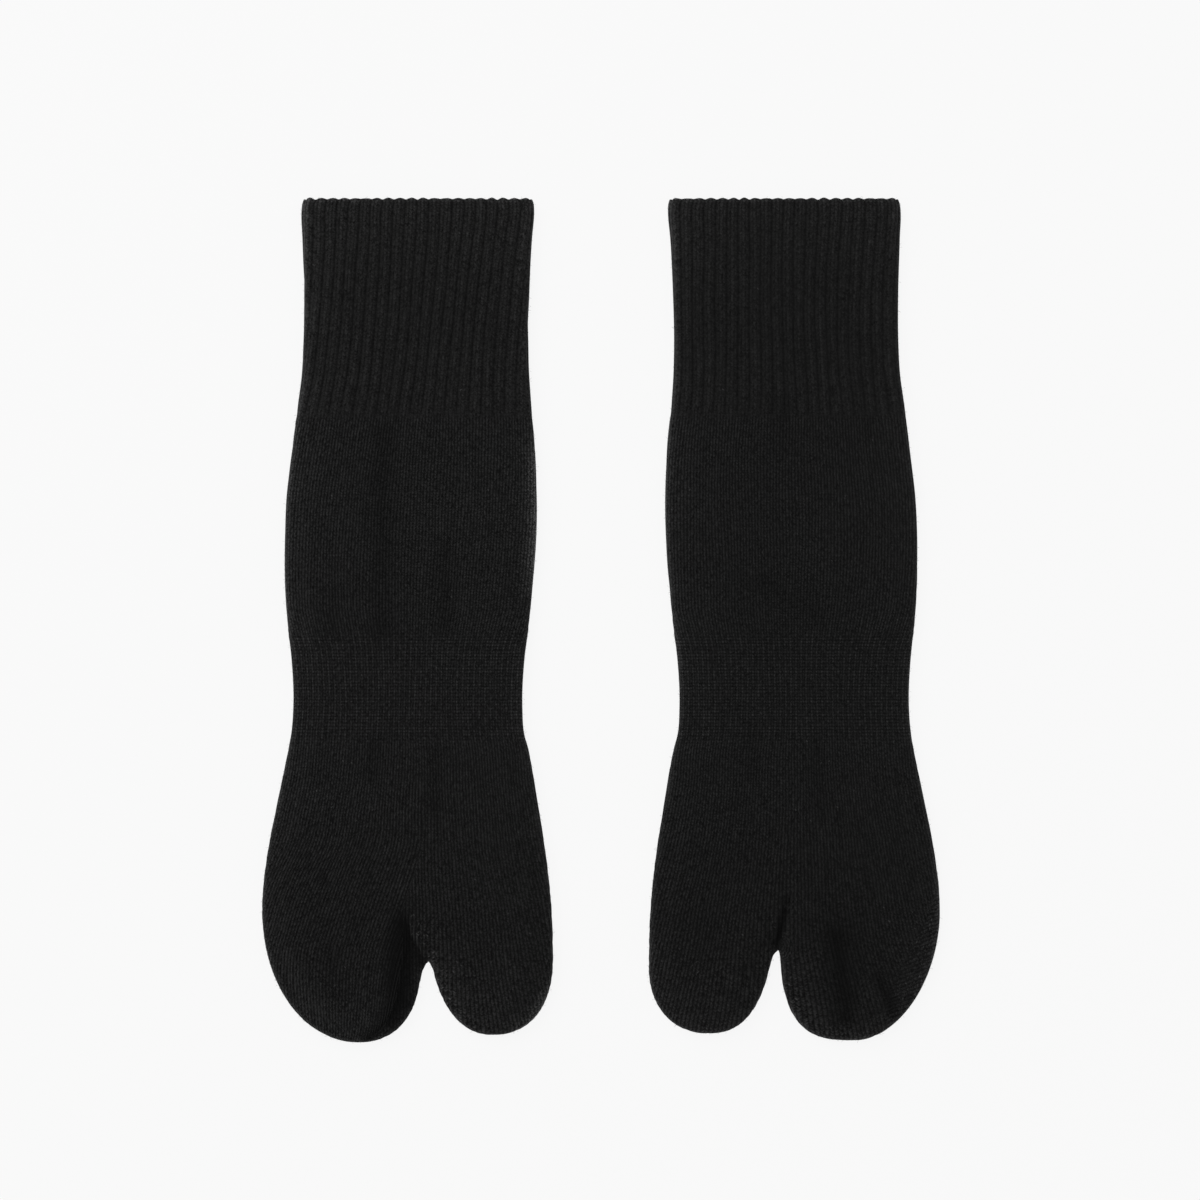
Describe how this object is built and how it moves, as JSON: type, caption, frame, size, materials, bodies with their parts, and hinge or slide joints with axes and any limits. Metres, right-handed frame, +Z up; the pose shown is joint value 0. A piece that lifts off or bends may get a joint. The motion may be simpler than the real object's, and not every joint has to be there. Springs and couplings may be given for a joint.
{
  "type": "pair of tabi socks",
  "caption": "Pair of knitted split-toe socks with ribbed cuffs, laid flat side by side, each a hollow wall of cloth open at its mouth.",
  "frame": {"origin": "bottom centre of the pair's box, on the surface that the socks lie on, midway between them", "axes": "+Y from the toes to the cuffs along the socks, +X from the wearer's right sock to the left sock, +Z up, off the surface"},
  "size_m": [0.2338, 0.2912, 0.0079],
  "materials": {
    "black_knit": "matte"
  },
  "bodies": {
    "root": {"sock_right": "black_knit", "sock_left": "black_knit"}
  },
  "joints": []
}
